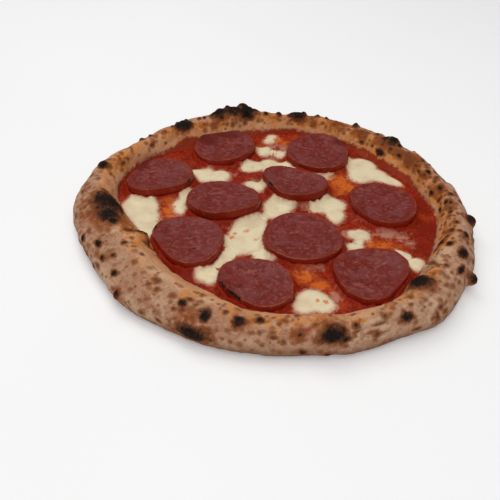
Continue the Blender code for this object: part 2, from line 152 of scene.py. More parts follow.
# Charred spots: angle, place across, half length, half width, darkness.
CHAR_SPOTS = (
    # on the right
    (352.5, 34, 5, 3.6, 1), (348, 52, 2.2, 2, .95), (344, 61, 2.7, 2.2, .9),
    (349, 85, 1.4, 1.2, .85), (346, 79, 2, 1.7, .8), (341.5, 69, 2.4, 2.4, .75),
    (339.5, 78, 3.8, 3.2, .95), (343, 41, 3.2, 2.5, .95), (345.5, 32, 2.4, 1.4, .75),
    (340.5, 38, 2.5, 1.3, .8), (334.5, 41, 6.2, 3.9, 1), (338.5, 51, 1.9, 1.3, .55),
    (340, 45, 1.9, 1.4, .55), (332.5, 76, 2, 1.4, .7), (330, 61, 1.7, 1.3, .65),
    (330, 51, 1.8, 1.4, .6), (325.5, 49, 2, 2, .85), (327.5, 38, 4.9, 2.4, 1),
    (329.5, 24, 3.8, 3.6, .9), (335, 28, 3, 1.5, .85), (324, 34, 1.9, 1.4, .75),
    (319.5, 41, 2.2, 1.6, .75), (315, 46, 2.5, 2.2, .65), (321, 58, 1.2, 1.2, .75),
    (355.5, 51, 1.6, 1.9, .75), (358, 64, 2.1, 1.5, .7), (359.5, 57, 1.4, 1.5, .7),
    # on the far right
    (56, 47, 2.2, 2.1, 1), (46.5, 47, 1.6, 2, .95), (39, 45, 4.2, 5, 1), (41.5, 49, 4.6, 3, .85),
    (39.5, 78, 4.2, 2.7, .95), (32, 66, 2.9, 2.2, .9), (37, 63, 3, 2.6, .75),
    (28.5, 58, 2.3, 1.8, .65), (28, 68, 2, 1.3, .6), (23, 63, 3.2, 2.2, .7),
    (17, 67, 3.6, 2.6, .65), (18.5, 53, 1.8, 2, .85), (13.5, 48, 1.8, 1.9, .9),
    (8.5, 61, 3.8, 2.6, .8), (9.5, 76, 2.6, 2, .65), (3.5, 48, 2.5, 2.4, .9),
    (6, 79, 2.2, 1.6, .6),
    # on the front right
    (290.5, 40, 2.8, 2.4, .8), (298.5, 43, 2.2, 1.9, .8), (303.5, 36, 3.9, 3.3, .95),
    (295, 29, 3.5, 2.5, .65), (311.5, 26, 2, 3.8, .7), (308.5, 54, 2.2, 2, .7),
    (305.5, 22, 3.1, 1.6, .8), (316, 67, 7.6, 7.8, 1),
    # along the front
    (252, 39, 3.3, 4.2, 1), (257, 46, 2, 2.1, .9), (261, 41, 3.8, 3.7, 1),
    (264.5, 34, 2.2, 1.1, .65), (266.5, 35, 1.6, 1.6, .8), (266.5, 46, 2.9, 2.7, .95),
    (270, 49, 1.5, 1.1, .7), (271.5, 44, 1.7, 1.7, .9), (258.5, 33, 1.7, 1.4, .65),
    (270, 32, 2.5, 1.5, .9), (272.5, 28, 1.8, 2, .85), (276.5, 35, 2.2, 1.9, .95),
    (280.5, 42, 1.8, 1.5, .85), (284, 34, 8, 4.2, 1), (287, 30, 3.7, 2.1, .85),
    (284.5, 41, 6, 1.2, .7), (277, 18, 2.9, 2.4, .85), (283, 14, 2.6, 3, .9),
    (260, 55, 1.8, 2, .55), (274, 53, 1.8, .9, .65),
    # on the front left
    (199, 28, 3.4, 2.3, 1), (206, 36, 3.6, 2.5, .95), (211.5, 49, 1.8, 2.4, .95),
    (214.5, 57, 1.7, 1.6, .75), (212, 33, 3, 2.2, .95), (214, 40, 2.7, 2, .9),
    (221.5, 48, 2, 1.9, .7), (219.5, 34, 3.2, 2.3, .98), (209.5, 20, 2.2, 2.2, .95),
    (231.5, 43, 2, 1.8, .85), (233, 47, 2.1, 2, .8), (228, 34, 1.7, 1.4, .65),
    (235, 39, 1.4, 1.3, .7), (232.5, 31, 1.6, 1.5, .6), (225, 26, 2.7, 2.7, .95),
    (226.5, 14, 1.4, 1.4, .9), (234, 22, 2.8, 2.4, .6), (244, 42, 3.3, 2.4, .95),
    (245.5, 46, 2.6, 1.6, .9), (242.5, 36, 2.1, 1.6, .85), (247.5, 41, 2, 1.2, .7),
    (249.5, 23, 11, 5, 1),
    # on the left
    (162, 46, 4, 3.6, 1), (161, 58, 1.4, 1.2, .8), (155.5, 75, 2.8, 2, .8),
    (158, 82, 1.9, 1.3, .7), (153, 53, 1.8, 1.7, .7), (139, 69, 2.2, 1.5, .75),
    (178.5, 38, 2, 1.5, .9), (185.5, 61, 12.5, 10, 1), (187, 78, 4.6, 3.4, .95),
    (194, 51, 9.5, 7.5, 1), (198.5, 52, 4.2, 3.2, 1), (187.5, 28, 3.2, 1.7, .65),
    (199, 35, 2.8, 1.6, .65), (206, 75, 2.6, 5.5, 1), (209.5, 84, 1.6, 3.2, .8),
    (203.5, 90, 1.5, 2.6, .8), (191, 74, 3.2, 2.3, .6),
    # at the back
    (124.5, 54, 8.5, 5, 1), (132.5, 54, 2, 1.6, .85), (109.5, 48, 7.5, 4, 1),
    (103.5, 51, 8, 4.6, 1), (98, 47, 8, 6, 1), (99, 57, 8, 4.6, 1), (109, 59, 3.2, 1.8, .85),
    (105, 75, 1.7, 2.2, .75), (92.5, 72, 1.6, 1.5, .65), (79, 51, 8.5, 4, 1),
    (72.5, 72, 2.1, 1.9, .6), (60, 69, 2.6, 2, .65),
)
# Burnt nubs that stand up from the crest: angle, place across, radius, height.
NUBS = (
    (141.5, 46, 2.2, 1.3), (137.5, 46, 1.8, 1), (128, 46, 1.5, 1.1), (126, 45, 1.4, 1),
    (122, 46, 1.9, 1.2), (117, 46, 1.9, 1.3), (115, 47, 1.7, 1), (105.5, 45, 2.4, 1.8),
    (91, 50, 2.1, 1.2), (86, 50, 2.6, 1.6), (76.5, 46, 2.6, 2), (71.5, 46, 2.4, 1.6),
    (68, 46, 1.8, 1), (56.5, 46, 2.6, 1.2), (46, 46, 1.8, 1.2), (36, 45, 2, 1), (30, 42, 1.4, .8),
    (22, 40, 1.5, .8), (13, 40, 1.4, .7),
)
NUB_DARKNESS = 0.95
# Soft brown stretches: angle, place across, half length, half width, strength.
BROWN_PATCHES = (
    (189, 57, 21, 14, .95), (197, 66, 12, 9, .7), (206, 70, 5, 7, .4), (276.5, 36, 8, 4.5, .8),
    (247, 34, 6.5, 3.6, .75), (250, 25, 12, 7, .75), (284, 37, 10, 8, .7), (234, 30, 6, 5, .4),
    (112.5, 70, 4.5, 5, .85), (116, 63, 6, 4, .8), (110, 60, 6, 4, .8), (77.5, 66, 9, 3.4, .95),
    (72, 68, 4, 4, .8), (41, 56, 10, 5, .95), (33, 58, 8, 5, 1), (62, 57, 9, 4.5, .9),
    (52, 57, 10, 5, .95), (8.5, 64, 6.5, 5, .8), (17, 68, 5, 4, .6), (316, 67, 10, 10.5, .75),
    (339.5, 76, 6, 5, .6), (343, 66, 6, 5, .5), (124.5, 56, 9.5, 6.5, .7), (103, 55, 15, 6.5, .5),
    (134, 50, 9, 3, .4), (90, 52, 9, 3.5, .35), (26, 60, 8, 6, .9), (347, 56, 7, 4, .4),
    (157, 70, 6, 5, .5), (224, 25, 5.5, 5.5, .6), (329, 30, 6, 5, .5), (353, 38, 6.5, 5, .5),
    (303.5, 36, 5.5, 4.6, .45), (261, 41, 5.6, 5.2, .5),
)
GOLDEN_PATCHES = (
    (196, 74, 17, 8, 1), (205, 78, 10, 10, 1.4), (212, 64, 8, 7, .9), (161, 60, 9, 8, .9),
    (155, 66, 10, 8, 1), (172, 68, 9, 5, .6), (145, 58, 10, 6, .8), (137, 60, 6, 4, .6),
    (119, 66, 9, 6, .9), (109, 68, 9, 6, .9), (98, 66, 9, 5, .6), (88, 66, 13, 6, 1),
    (77, 68, 12, 6, .9), (65, 66, 15, 8, 1.1), (52, 71, 15, 8, 1), (129, 62, 11, 6, .9),
    (40, 74, 14, 8, 1), (28, 70, 12, 8, 1.1), (18, 74, 10, 7, 1.1), (8, 76, 10, 7, 1.2),
    (356, 80, 9, 6, 1.1), (346, 76, 10, 7, 1.1), (338, 74, 7, 6, 1), (331, 86, 6, 3, .6),
    (321, 60, 5, 4.5, 1), (309, 55, 6, 4.5, .9), (301, 48, 5, 2.5, .8), (291, 44, 12, 3, .8),
    (281, 46, 18, 4, .85), (269, 47, 18, 5, .8), (258, 49, 12, 5, .6), (243, 50, 9, 4, .7),
    (233, 44, 10, 6, .35), (222, 50, 10, 6, .35), (214, 56, 8, 5, .6),
)
FLOUR_PATCHES = (
    (240.5, 52, 4, 3, 1), (250, 52, 7, 2.2, .8), (291.5, 47, 8, 1.8, .9), (332, 66, 8, 5, 1),
    (215, 23, 18, 6, .9), (300, 30, 14, 6, .5), (234, 22, 14, 5, .8), (216, 62, 14, 4, .8),
    (230, 58, 14, 4, .8), (142, 40, 14, 4, .85), (153, 42, 10, 5, .8), (129, 41, 8, 3, .7),
    (188, 20, 14, 6, .5), (312, 36, 14, 7, .5), (118, 50, 6, 2.4, .6),
)
# Where the sauce stops that has baked onto the inner slope: angle, place across.
STAIN_LINE = (
    (0, 93), (12, 92), (20, 88), (28, 85.5), (36, 84.5), (46, 84), (56, 85.5), (64, 88), (72, 91),
    (81, 88.5), (87.5, 89.5), (93, 88), (100, 85), (107, 84.5), (113.5, 87), (119.5, 85),
    (125, 79), (132, 87), (140, 92), (150, 91), (158, 90), (166, 91), (175, 93), (187, 94),
    (200, 97), (215, 89), (222, 91), (232, 95), (260, 97), (300, 95), (312, 90), (322, 89),
    (332, 92), (350, 94), (360, 93),
)
STAIN_SOFTNESS = 0.05
# Wrinkles and pinched folds: angle, across, angle, across, half width, depth.
CREASES = (
    (288.5, 33, 293, 36, 1.2, .9), (291, 30, 296, 33, 1.1, 1), (293, 36, 299, 38, 1.3, 1),
    (294.5, 27, 299, 30, 1, .7), (244.5, 28, 250, 27.5, 1.2, .7), (250, 27.5, 255.5, 32, 1.2, .7),
    (331, 90, 325, 62, 2.2, 1.8), (325, 62, 321.5, 44, 1.8, .9), (203, 64, 201.5, 105, 3.2, 3.4),
    (211, 70, 210, 95, 2, 1), (333, 26, 328, 12, 1.4, .6), (338, 30, 331, 34, 1.5, .6),
    (346, 20, 340, 33, 1.4, .5),
)
# Small baked specks: from angle, to angle, from across, to across, how many,
# smallest and largest half size, least and most darkness.
FRECKLES = (
    (335, 385, 22, 85, 130, .8, 2.4, .6, 1), (300, 335, 18, 78, 95, .8, 2, .5, .85),
    (250, 300, 12, 58, 80, .8, 1.9, .5, .85), (205, 250, 12, 62, 115, .8, 2.3, .4, .8),
    (165, 205, 12, 50, 85, .8, 2.2, .45, .8), (120, 165, 20, 80, 60, .7, 2, .45, .8),
    (60, 120, 20, 80, 90, .8, 1.9, .5, .9), (25, 60, 20, 80, 90, .8, 2.2, .6, 1),
)

# Orange oil that has run out of the salami: x, y, radius, strength.
OIL_SPOTS = (
    (-75, 14, 6, 1), (-74, 4, 6, 1.1), (-72, -4, 6, 1), (-80, 8, 4, .6), (55, 44, 9, 1.1),
    (60, 36, 8, 1.1), (49, 47, 6, .9), (54, 31, 6, .8), (23, -69, 7, 1), (31, -78, 6, 1.1),
    (20, -62, 6, .8), (38, -84, 6, .6), (8, 106, 5, 1), (13, 102, 5, .9), (-6, 98, 4, .6),
    (71, -34, 7, .9), (79, -37, 8, .9), (88, -38, 6, .7), (86, -47, 5, .6), (-30, -60, 6, .8),
    (-24, -55, 5, .7), (-36, -52, 4, .6), (44, -94, 7, .5), (62, -100, 8, .4), (-76, -56, 7, .5),
    (104, 10, 9, .35), (-27, -30, 2.2, 1.3), (-25, -25, 1.8, 1.2), (-17, -22, 2.8, 1),
    (-10, -32, 2.4, 1), (29, -94, 1.7, 1.3), (34, -95, 1.9, 1.3), (110, -2, 8, .5),
    (100, -10, 6, .6), (-3, -100, 8, .5), (-92, 58, 7, .4), (-62, 92, 12, .35), (24, 108, 9, .5),
)
# Milky film of cheese in the sauce: x, y, radius, strength.
MILK_SPOTS = (
    (70, -6, 6, .9), (75, -11, 4, .8), (83, -23, 6, .9), (92, -26, 6, .8), (97, -32, 6, .7),
    (76, -22, 5, .6), (26, -60, 5, .9), (33, -60, 4, .8), (13, 93, 6, .8), (5, 96, 6, .7),
    (3, 78, 6, .7), (18, 74, 5, .7), (-12, 44, 6, .6), (40, -90, 6, .8), (44, -82, 5, .6),
    (26, 11, 5, .9), (64, -46, 5, .8), (52, -22, 6, .7), (-70, -2, 4, .6), (56, 8, 4, .6),
    (22, -104, 6, .8), (-27, 52, 4, .6), (-52, -60, 4, .7),
)
# Darker red stretches of sauce: x, y, radius, strength.
DARK_SPOTS = (
    (-72, -64, 12, 1), (-62, -72, 10, 1), (-88, -50, 10, .9), (112, 12, 12, .8),
    (112, -14, 12, .9), (106, -36, 9, .8), (2, -112, 10, .8), (-32, -98, 10, .8),
    (60, -104, 12, .55), (84, -92, 9, .55), (-30, 34, 6, .7), (0, 20, 5, .6), (24, 3, 5, .9),
    (-110, 30, 9, .7), (-60, 104, 12, .4), (6, 52, 6, .5),
)

# Charred bits on the edges of slices: slice number, first and last angle.
BURNT_EDGES = (
    (5, 172, 222), (7, 132, 172), (10, 155, 245), (4, 236, 244), (4, 262, 272), (3, 328, 352),
)
BURN_FADE = 8
# Pale streaks of fat on the slices: x, y, half length, half width, direction.
FAT_STREAKS = (
    (-56, -36, 10, 1, 20), (-50, -46, 9, .8, 12), (-52, -30, 6, .7, 160), (-66, -44, 5, .7, 70),
    (56, -84, 5, 3, 170), (62, -88, 4, 2, 150), (70, 24, 6, 1.4, 165), (98, 22, 3, 2.4, 120),
    (-40, 16, 9, 1.6, 8), (-90, 46, 8, 1.8, 20), (30, 84, 9, 1.6, 170), (12, 36, 6, 1.2, 150),
    (18, -28, 8, 1.4, 20), (-14, -72, 8, 1.6, 15), (72, -64, 7, 1.4, 30), (-28, 92, 7, 1.4, 0),
)
# Painted shade on the slices, at their edges beside the rim: x, y, half length, half width,
# direction.
RIM_SHADE_PATCHES = (
    (-52, 97, 12, 8, 140), (-38, 104, 18, 5, 176), (60, 90, 8, 4, 130), (-100, 52, 8, 5, 50),
)
# Peppercorn pieces on the slices: x, y, half size.
PEPPER = (
    (-56, -35, .8), (-52, -48, .9), (-27, -86, .7), (-2, -82, .5), (-44, 6, .7), (-28, 2, .6),
    (86, 20, .6), (97, 2, .5), (76, 14, .5), (-79, 37, .5), (-64, 33, .7), (47, 71, .5),
    (12, -50, .6), (34, 27, .5), (56, 92, .5),
)

# ---- shapes

EDGE_SOFTNESS = 0.5
NORMAL_STEP = 0.01
FAR_OFF = 99.0


def circle(count):
    """Angles at equal steps all round."""
    return np.linspace(0, math.tau, count, endpoint=False)


def at(x, y, z=0.0):
    return np.stack(np.broadcast_arrays(x, y, z), axis=-1)


def polar(middle, angle, reach):
    """x and y at a distance from a middle, in a direction."""
    return middle[0] + reach * np.cos(angle), middle[1] + reach * np.sin(angle)


def seen_from(middle, x, y):
    """Direction and distance of points from a middle."""
    return np.arctan2(y - middle[1], x - middle[0]), np.hypot(x - middle[0], y - middle[1])


def smooth_step(value, low, high):
    share = np.clip((value - low) / (high - low), 0, 1)
    return share * share * (3 - 2 * share)


def grain(points, size, seed, octaves=3):
    """Smooth noise from -1 to 1 at points, with lumps of about that size."""
    flat = points.reshape(-1, 3) / size + seed * 17.3
    values = [noise.fractal(Vector(p), 1.0, 2.0, octaves) for p in flat]
    return np.array(values).reshape(points.shape[:-1])


def lumps(points, *layers):
    """Unevenness summed from layers: height, size, seed and, if given, octaves."""
    return sum(height * grain(points, *layer) for height, *layer in layers)


def rim_sizes(angle):
    """Outer radius, inner radius, crest's radius and crest's height."""
    turn = np.degrees(angle) % 360.0
    stops = np.array(RIM, dtype=float)
    first = np.searchsorted(stops[:, 0], turn, side="right") - 1
    count = len(stops)
    before, after, later = (first - 1) % count, (first + 1) % count, (first + 2) % count
    start = stops[first, 0]
    span = (stops[after, 0] - start) % 360.0
    share = ((turn - start) / span)[..., None]
    a, b, c, d = (stops[i, 1:] for i in (before, first, after, later))
    sizes = b + 0.5 * share * (c - a + share * (2 * a - 5 * b + 4 * c - d
                                                + share * (3 * (b - c) + d - a)))
    outer, inner, crest = np.moveaxis(sizes, -1, 0)
    return outer, inner, outer - CREST_SHARE * (outer - inner), crest


def rim_profile(angle, across):
    """Radius and height of the smooth rim."""
    outer, inner, ridge, crest = rim_sizes(angle)
    widest = WIDEST_HEIGHT * crest
    low = np.clip(across / WIDEST_PLACE, 0, 1) * math.pi / 2
    high = np.clip((across - WIDEST_PLACE) / (CREST_PLACE - WIDEST_PLACE), 0, 1) * math.pi / 2
    inside = np.clip((across - CREST_PLACE) / (1 - CREST_PLACE), 0, 1)
    radius = np.where(across < WIDEST_PLACE, outer - UNDERCUT * (1 - np.sin(low)),
                      ridge + (outer - ridge) * np.cos(high))
    height = np.where(across < WIDEST_PLACE, widest * (1 - np.cos(low)),
                      widest + (crest - widest) * np.sin(high))
    fall = np.maximum(0, 1 - inside ** 2) ** INNER_FALL
    radius = np.where(across > CREST_PLACE, ridge - (ridge - inner) * inside, radius)
    height = np.where(across > CREST_PLACE,
                      BASE_THICKNESS + (crest - BASE_THICKNESS) * fall, height)
    return radius, height


def slope_radius(angle, height):
    """How far out the rim's inner slope reaches a height."""
    _, inner, ridge, crest = rim_sizes(angle)
    fall = np.clip((height - BASE_THICKNESS) / (crest - BASE_THICKNESS), 0, 1)
    return ridge - (ridge - inner) * np.sqrt(1 - fall ** (1 / INNER_FALL))


def rim_point(angle, across):
    radius, height = rim_profile(angle, across)
    return at(*polar((0, 0), angle, radius), height)


def rim_place(turn, place):
    """A point of the rim, as the tables give it: in degrees and in percent."""
    return rim_point(np.radians(turn), np.array(place / 100))


def rim_normal(angle, across):
    """Outward direction square to the rim's cross-section."""
    near, far = (np.stack(rim_profile(angle, np.clip(across + step, 0, 1)), axis=-1)
                 for step in (-NORMAL_STEP, NORMAL_STEP))
    run = far - near
    run /= np.maximum(np.linalg.norm(run, axis=-1, keepdims=True), 1e-9)
    return at(*polar((0, 0), angle, run[..., 1]), -run[..., 0])


def inside_rim(middle, angle, reach, height, clearance):
    """Edge distances from a middle, shortened to stop clear of the rim's slope."""
    for _ in range(RIM_ROUNDS):
        turn, away = seen_from((0, 0), *polar(middle, angle, reach))
        reach = reach - np.maximum(0, away + clearance - slope_radius(turn, height))
    return reach


def edge_at(reach, angle):
    """A round outline's distance from its middle, in any direction."""
    steps = np.linspace(0, math.tau, len(reach) + 1)
    return np.interp(angle % math.tau, steps, np.append(reach, reach[0]))


def past_edges(outlines, x, y):
    """Distance of points past the nearest outline, a middle and its edge's distances."""
    gaps = []
    for middle, reach in outlines:
        turn, away = seen_from(middle, x, y)
        gaps.append(away - edge_at(reach, turn))
    return np.min(gaps, axis=0)


def inside_box(points):
    """Points eased back where they would leave the solids' box, and kept off the floor."""
    low, high = (np.array(corner) / MM - START for corner in CAD_BOX)
    for limit, side, axes in ((high, 1, 3), (low, -1, 2)):
        room = side * (limit - points)[..., :axes]
        room = 0.5 * (room + np.sqrt(room ** 2 + EDGE_SOFTNESS ** 2))
        points[..., :axes] = limit[:axes] - side * room
    points[..., 2] = np.maximum(points[..., 2], 0.0)
    return points


def link(name, data):
    item = bpy.data.objects.new(name, data)
    bpy.context.scene.collection.objects.link(item)
    return item


def add_object(name, points, faces, made, painted):
    """A piece from points in millimetres, with painted values for its material."""
    data = bpy.data.meshes.new(name)
    data.from_pydata(((points + START) * MM).tolist(), [], faces)
    for label, values in painted.items():
        layer = data.attributes.new(label, "FLOAT", "POINT")
        layer.data.foreach_set("value", values.astype(np.float32))
    data.materials.append(made)
    data.shade_smooth()
    data.validate()
    return link(name, data)


def ring_faces(rows, count):
    """Quads between rows of points, and fans onto two last points under and over them."""
    tip = rows * count
    last = tip - count
    faces = []
    for i in range(count):
        j = (i + 1) % count
        faces += [(low + i, low + j, low + count + j, low + count + i)
                  for low in range(0, last, count)]
        faces += [(j, i, tip), (last + i, last + j, tip + 1)]
    return faces


def add_rings(name, rings, middle, made, painted, node):
    """A closed piece from rings of points, lowest first, that stands for a solid.

    A tip under the rings and one over them close it.  Their heights and painted
    values are the means of the rings beside them.
    """
    rows, count = rings.shape[:2]
    tips = [(*middle, rings[row, :, 2].mean()) for row in (0, -1)]
    labels = {}
    for label, values in painted.items():
        values = np.broadcast_to(values, (rows, count))
        labels[label] = np.append(values.ravel(), values[[0, -1]].mean(axis=1))
    points = np.concatenate([rings.reshape(-1, 3), tips])
    piece = add_object(name, points, ring_faces(rows, count), made, labels)
    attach(piece, "root")
    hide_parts(node)


# ---- the dough

RIM_TURNS = 900
RIM_ROWS = 96
UNDER_ROWS = 4
COLUMN_STEP = 360 / RIM_TURNS
NARROWEST = 80.0
SPOT_FADE = 2.0
SPOT_SWAY = 0.22


def bump_list():
    draw = random.Random(SEED)
    bumps = list(BLISTERS)
    for _ in range(SMALL_BUMPS):
        bumps.append((draw.uniform(0, 360), draw.uniform(*SMALL_BUMP_PLACE),
                      draw.uniform(*SMALL_BUMP_RADIUS), draw.uniform(*SMALL_BUMP_HEIGHT)))
    return bumps


def freckle_list():
    draw = random.Random(SEED + 1)
    specks = []
    for low, high, inner, outer, count, small, large, pale, dark in FRECKLES:
        for _ in range(count):
            half = small + (large - small) * draw.random() ** 1.8
            specks.append((draw.uniform(low, high) % 360, draw.uniform(inner, outer),
                           half * draw.uniform(0.85, 1.5), half, draw.uniform(pale, dark)))
    return specks


def columns_near(turn, reach):
    """Numbers of the rim's columns within a distance of an angle."""
    half = math.degrees(reach / NARROWEST)
    first, last = math.floor((turn - half) / COLUMN_STEP), math.ceil((turn + half) / COLUMN_STEP)
    return np.arange(first, last + 1) % RIM_TURNS


def rim_field(smooth, spots, sway, level):
    """The highest level that spots on the rim give, by their sizes and a point's reach.

    The reach is a point's distance from a spot's middle, 1 where its edge lies.
    """
    field = np.zeros(smooth.shape[:2])
    for turn, place, length, width, strength in spots:
        near = columns_near(turn, SPOT_FADE * max(length, width) * (1 + SPOT_SWAY))
        step = smooth[:, near] - rim_place(turn, place)
        angle = math.radians(turn)
        along = step @ np.array((-math.sin(angle), math.cos(angle), 0))
        beside = np.maximum(0, (step ** 2).sum(-1) - along ** 2)
        reach = np.sqrt((along / length) ** 2 + beside / width ** 2) * sway[:, near]
        field[:, near] = np.maximum(field[:, near], strength * level(reach, length + width))
    return field


def browned(spot):
    """A spot with its darkness lowered unless it is large: only those burn black."""
    return (*spot[:4], spot[4] * (0.62 + 0.38 * smooth_step(spot[2] + spot[3], 2.5, 6.5)))


def faded(reach, *_):
    """A spot's colour: half its strength at its edge, fading on out."""
    return np.clip(1 - reach / SPOT_FADE, 0, 1)


def blistered(reach, size):
    """A charred blister's height, by its size."""
    return min(0.9, 0.12 + 0.055 * size) * smooth_step(1.35 - reach, 0, 0.7)


def budded(reach, _):
    """A burnt nub's share of its height."""
    return smooth_step(1.3 - reach, 0, 1)


def crease_depth(smooth):
    """Grooves of the wrinkles, less than 0 on the soft lips at both sides."""
    depth = np.zeros(smooth.shape[:2])
    for turn, place, far_turn, far_place, width, deep in CREASES:
        start = rim_place(turn, place)
        span = rim_place(far_turn, far_place) - start
        near = columns_near(0.5 * (turn + far_turn), np.linalg.norm(span) / 2 + 5 * width)
        step = smooth[:, near] - start
        share = np.clip(step @ span / (span @ span), 0, 1)
        away = np.linalg.norm(step - share[..., None] * span, axis=-1) / width
        fade = np.sin(math.pi * (0.1 + 0.8 * share))
        depth[:, near] += deep * fade * (np.exp(-away ** 2) - 0.45 * np.exp(-(away - 2.2) ** 2))
    return depth


def make_dough(made):
    # The first rows lie on the rim's foot here, and are drawn in under the pizza at the end.
    places = np.append(np.zeros(UNDER_ROWS), np.linspace(0, 1, RIM_ROWS))
    across, angle = np.meshgrid(places, circle(RIM_TURNS), indexing="ij")
    smooth = rim_point(angle, across)
    sway = 1 + lumps(smooth, (SPOT_SWAY, 7, 6, 2), (SPOT_SWAY, 3, 4, 2))

    nubs = [(turn, place, radius, radius, height) for turn, place, radius, height in NUBS]
    burnt = [browned(spot) for spot in CHAR_SPOTS] + [(*nub[:4], NUB_DARKNESS) for nub in nubs]
    specks = [browned(spot) for spot in freckle_list()]
    spots = {"char": burnt + specks, "spot": [(*spot[:4], 1.0) for spot in burnt + specks],
             "brown": BROWN_PATCHES, "golden": GOLDEN_PATCHES, "flour": FLOUR_PATCHES}
    painted = {label: rim_field(smooth, rows, sway, faded) for label, rows in spots.items()}
    crease = crease_depth(smooth)

    lift = WAVE_HEIGHT * (np.sin(5 * angle + 6 * across) * np.sin(9 * angle + 1)
                          + 0.5 * np.sin(17 * angle + 9 * across + 2))
    for turn, place, radius, height in bump_list():
        near = columns_near(turn, radius)
        reach = np.linalg.norm(smooth[:, near] - rim_place(turn, place), axis=-1) / radius
        lift[:, near] += height * np.maximum(0, 1 - reach ** 2)
    lift += rim_field(smooth, nubs, np.ones_like(sway), budded) - crease
    lift += rim_field(smooth, burnt, sway, blistered)
    lift += 0.6 * rim_field(smooth, specks, sway, blistered)
    lift += lumps(smooth, (0.75, 18, 1), (0.42, 6.5, 2), (0.12, 2.6, 5))
    lift += smooth_step(painted["char"], 0.4, 0.6) * lumps(smooth, (0.38, 2.6, 3, 2))
    hold = np.minimum(1, across / FOOT_FADE) * np.minimum(1, (1 - across) / FOOT_FADE)
    surface = inside_box(smooth + rim_normal(angle, across) * (lift * hold)[..., None])

    surface[:UNDER_ROWS] *= (np.arange(1, UNDER_ROWS + 1) / (UNDER_ROWS + 1))[:, None, None]
    stained_from = np.interp(np.degrees(angle[0]), *np.array(STAIN_LINE).T) / 100
    painted.update(
        # The creases' grooves are painted darker as shade; their lips take flour.
        flour=np.maximum(painted["flour"], -2.4 * crease), groove=np.clip(crease, 0, 1),
        # low: painted shade, darker down the rim's outer side to its foot and under the pizza
        low=smooth_step(-across, -0.27, -0.09), under=np.clip(1 - across / 0.1, 0, 1),
        # crown: a paler band from the crest down the inner slope, partly the dough's own tone,
        # partly painted light
        crown=smooth_step(across, 0.44, 0.6) * smooth_step(-across, -0.95, -0.82),
        stain=smooth_step(across - stained_from * (0.5 + 0.5 * sway) ** 0.2,
                          -STAIN_SOFTNESS, STAIN_SOFTNESS),
        blush=np.maximum(smooth_step(np.cos(angle + 0.35), -0.4, 0.8),
                         1.3 * smooth_step(np.cos(angle - 2.4), 0.3, 0.9)))
    add_rings("baked_dough", surface, (0, 0), made, painted, "crust")


# ---- where the slices lie

EDGE_STEPS = 240
SLICE_RIM_CLEARANCE = -0.8
HEAP_MOST = 4.4
HEAP_RUN = 2.8
HEAP_OVER = 1.3
HEAP_UNEVENNESS = 2.6
UNDER_INSET = 0.6
UNDER_GAP = 0.25
UNDER_LIFT = 0.7
FRINGE_RUN = 2.4


def slice_edges():
    """Each slice's edge distance all round its middle, kept off the rim's slope."""
    angle = circle(EDGE_STEPS)
    edges = []
    for number, (x, y, radius, stretch, turn, lobe, first, cup, *_) in enumerate(SLICES):
        turn, first = math.radians(turn), math.radians(first)
        reach = radius / np.hypot(np.cos(angle - turn) / stretch, np.sin(angle - turn) * stretch)
        reach += lobe * np.cos(3 * (angle - first))
        reach += lumps(at(np.cos(angle), np.sin(angle), number),
                       (0.75, 0.5, 40, 2), (0.4, 0.15, 41, 2))
        edges.append(inside_rim((x, y), angle, reach, POOL_TOP + cup, SLICE_RIM_CLEARANCE))
    return edges


def slice_lift(place, edge, angle, share):
    """Height of a slice's underside over its lowest setting."""
    x, _, radius, *_, cup, tilt, rise = place
    slope = share * edge_at(edge, angle) * np.cos(angle - math.radians(rise)) / radius
    wave = SLICE_EDGE_WAVE * np.sin(2 * angle + 0.1 * x) * share ** 2
    return cup * share ** CUP_POWER + 0.5 * tilt * (1 + slope) + wave


def solid_floor(number, place, edge):
    """Height that the solid slice was set down at, read back from its box."""
    lift = slice_lift(place, edge, circle(SOLID_SIDES), np.array(SOLID_SHARES)[:, None])
    lift[-1] += SLICE_WIDEST * SALAMI_THICKNESS
    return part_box(f"salami_{number:02d}")[0][2] / MM - lift.min()


SLICE_EDGES = slice_edges()
SLICE_FLOORS = [solid_floor(number, place, edge) for number, (place, edge)
                in enumerate(zip(SLICES, SLICE_EDGES), start=1)]


def grease_and_shade_fringe(x, y):
    """Dark red grease and painted shade along the slices' edges, 1 at an edge and fading outwards.
    """
    return np.exp(-np.maximum(0, past_edges(zip(SLICES, SLICE_EDGES), x, y)) / FRINGE_RUN)


def heap_up(x, y, top):
    """Sauce or cheese pushed up round the slices' edges, and kept under the slices."""
    raised, ceiling = top.copy(), np.full_like(top, FAR_OFF)
    over = HEAP_OVER + HEAP_UNEVENNESS * grain(at(x, y), 8.0, 12)
    for place, edge, floor in zip(SLICES, SLICE_EDGES, SLICE_FLOORS):
        angle, away = seen_from(place, x, y)
        out = edge_at(edge, angle)
        under = floor + UNDER_LIFT * slice_lift(place, edge, angle, np.minimum(1, away / out))
        outside = np.maximum(0, away - out)
        climb = np.clip(under + over - top, 0, HEAP_MOST) * np.exp(-(outside / HEAP_RUN) ** 2)
        raised = np.maximum(raised, top + climb)
        ceiling = np.minimum(
            ceiling, np.where(away < out - UNDER_INSET, under - UNDER_GAP, FAR_OFF))
    return np.minimum(raised, ceiling)


# ---- the cheese pools

POOL_TURNS = 132
POOL_RINGS = 30
POOL_RIM_CLEARANCE = -0.6
POOL_SMOOTHING = 12
POOL_BOTTOM = SAUCE_FLOOR + 0.6
POOL_ROUNDING = 2.6
POOL_DEEP = 6.0


def round_spots(x, y, spots, sway=1.0):
    field = np.zeros_like(x)
    for *middle, radius, strength in spots:
        reach = seen_from(middle, x, y)[1] / radius * sway
        field = np.maximum(field, strength * faded(reach))
    return field


